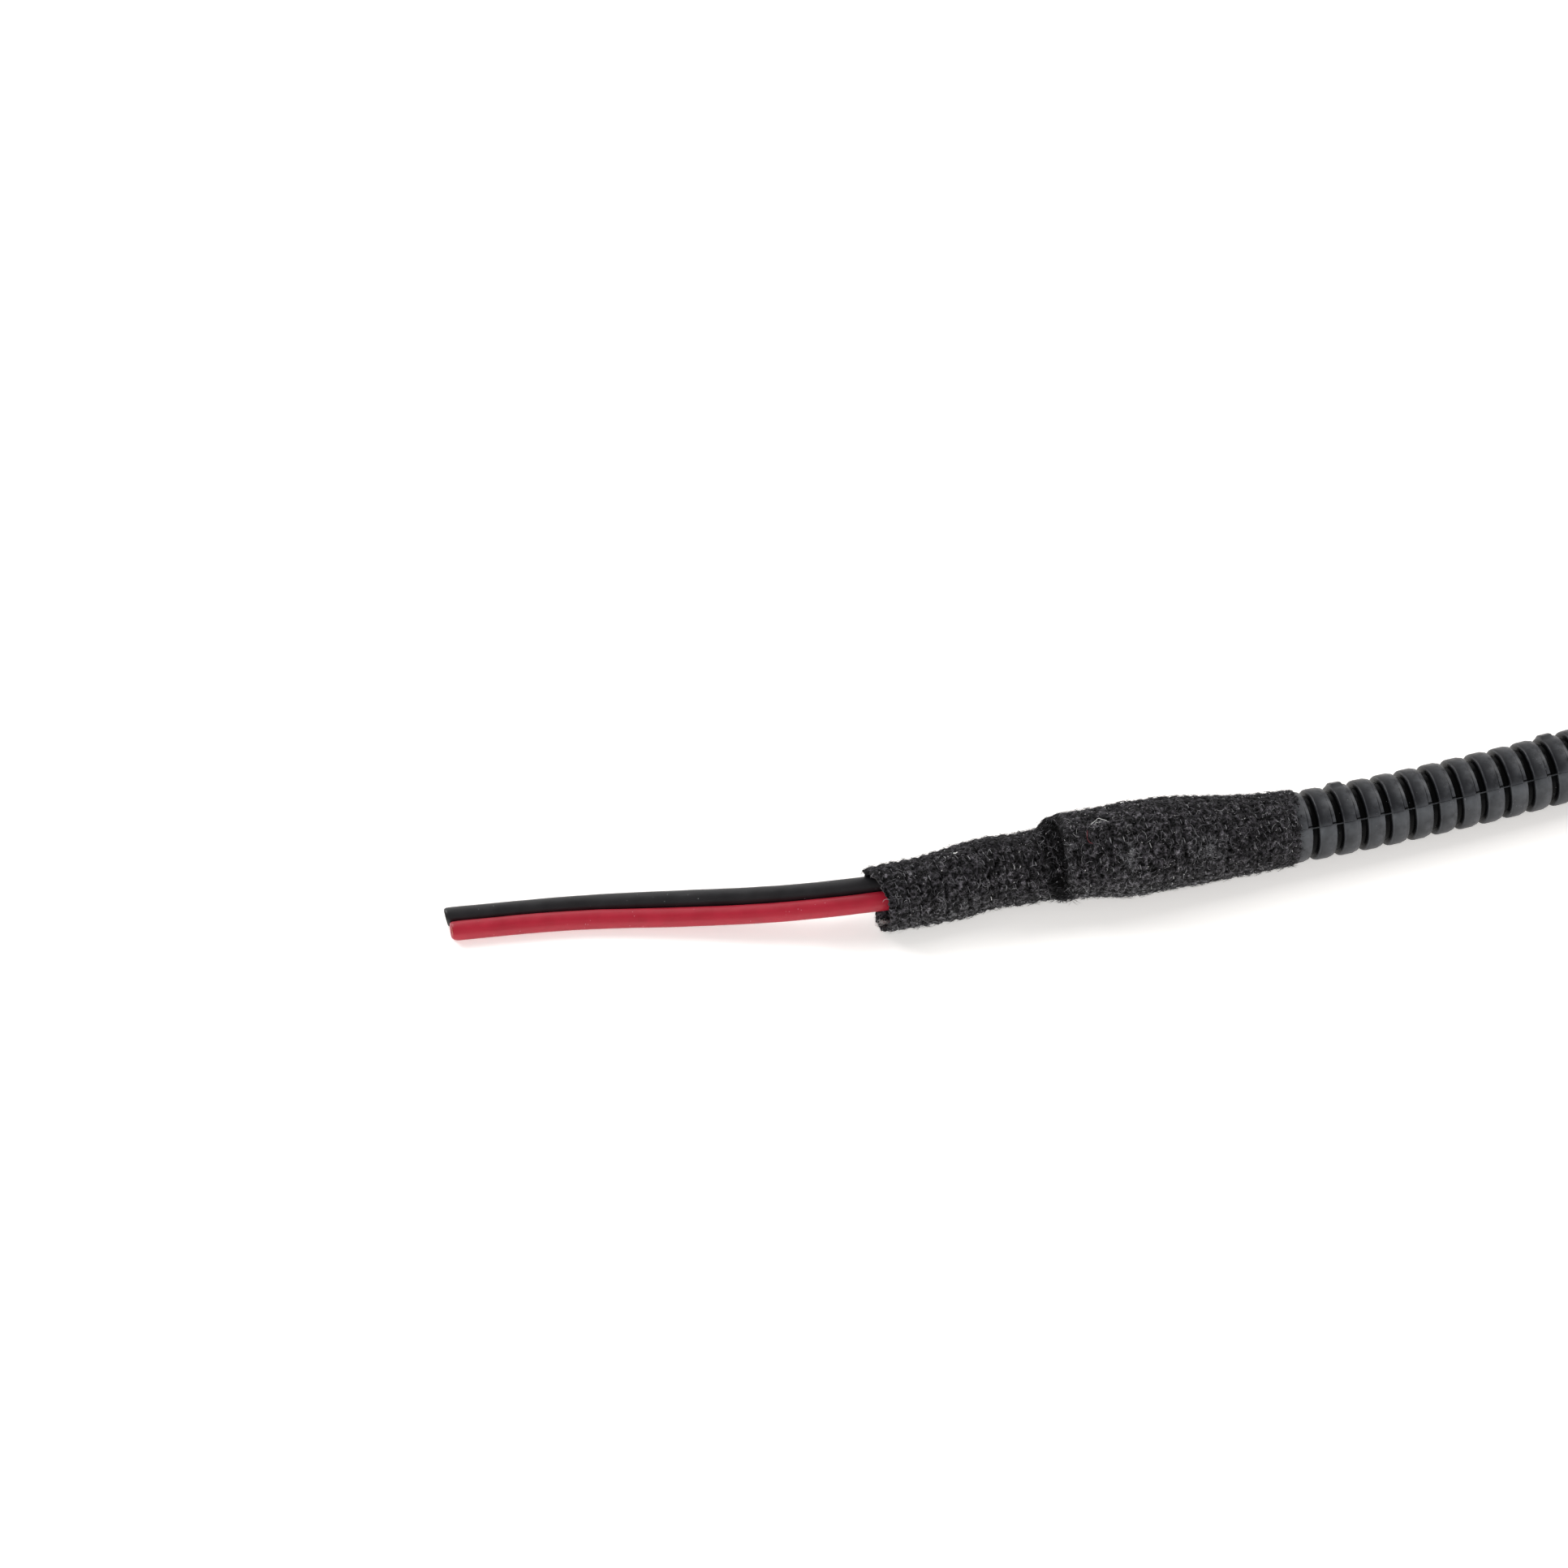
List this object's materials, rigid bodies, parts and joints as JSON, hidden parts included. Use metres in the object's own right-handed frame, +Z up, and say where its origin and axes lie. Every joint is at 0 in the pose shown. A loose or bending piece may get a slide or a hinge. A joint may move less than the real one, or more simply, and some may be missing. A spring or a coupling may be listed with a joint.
{
  "type": "two-core wiring lead",
  "caption": "Low-voltage wiring lead: black and red wires with flush-cut ends, fleece tape wrap, black corrugated conduit and a sealed latching connector.",
  "frame": {"origin": "middle of the lead's footprint, on the surface that it lies on", "axes": "+Z up from the surface; the cut wire ends lie at -X, the conduit runs towards +X and bends to +Y, and the connector's mating face looks along +Y"},
  "size_m": [0.2185, 0.1491, 0.018],
  "materials": {
    "black_pvc": "satin PVC wire insulation",
    "red_pvc": "satin PVC wire insulation, slightly translucent",
    "copper": "bright copper strands",
    "conduit_plastic": "satin moulded polyamide with a parting line",
    "fleece_tape": "stitch-bonded polyester fleece with loose fibres",
    "housing_plastic": "fine-textured glass-filled polyamide",
    "adapter_plastic": "fine-textured polyamide",
    "lock_plastic": "light grey moulded plastic",
    "seal_silicone": "matte brick-red silicone",
    "wire_seal_silicone": "matte pale silicone",
    "tin_plate": "tinned copper alloy",
    "cage_steel": "stainless spring steel"
  },
  "bodies": {
    "lead": {"red_wire_insulation": "red_pvc", "red_wire_conductor": "copper", "black_wire_insulation": "black_pvc", "black_wire_conductor": "copper", "corrugated_conduit": "conduit_plastic", "wire_tape_wrap": "fleece_tape", "conduit_tape_wrap": "fleece_tape", "adapter_base": "adapter_plastic", "connector_housing": "housing_plastic", "interface_seal": "seal_silicone", "red_wire_seal": "wire_seal_silicone", "black_wire_seal": "wire_seal_silicone", "red_terminal": "tin_plate", "black_terminal": "tin_plate", "red_terminal_cage": "cage_steel", "black_terminal_cage": "cage_steel"},
    "latch": {"latch_lever": "housing_plastic"},
    "cover": {"adapter_cover": "adapter_plastic"},
    "lock": {"front_lock": "lock_plastic"}
  },
  "joints": [
    {"name": "latch_hinge", "type": "hinge", "parent": "lead", "child": "latch", "pos_m": [0.0975, 0.057, 0.0162], "axis": [1, 0, 0], "range_deg": [0, 7], "stiffness_Nm_per_rad": 0.1},
    {"name": "cover_hinge", "type": "hinge", "parent": "lead", "child": "cover", "pos_m": [0.0856, 0.0406, 0.0075], "axis": [0, -1, 0], "range_deg": [0, 110]},
    {"name": "lock_slide", "type": "slide", "parent": "lead", "child": "lock", "axis": [0, 1, 0], "range_m": [0, 0.0025]}
  ]
}
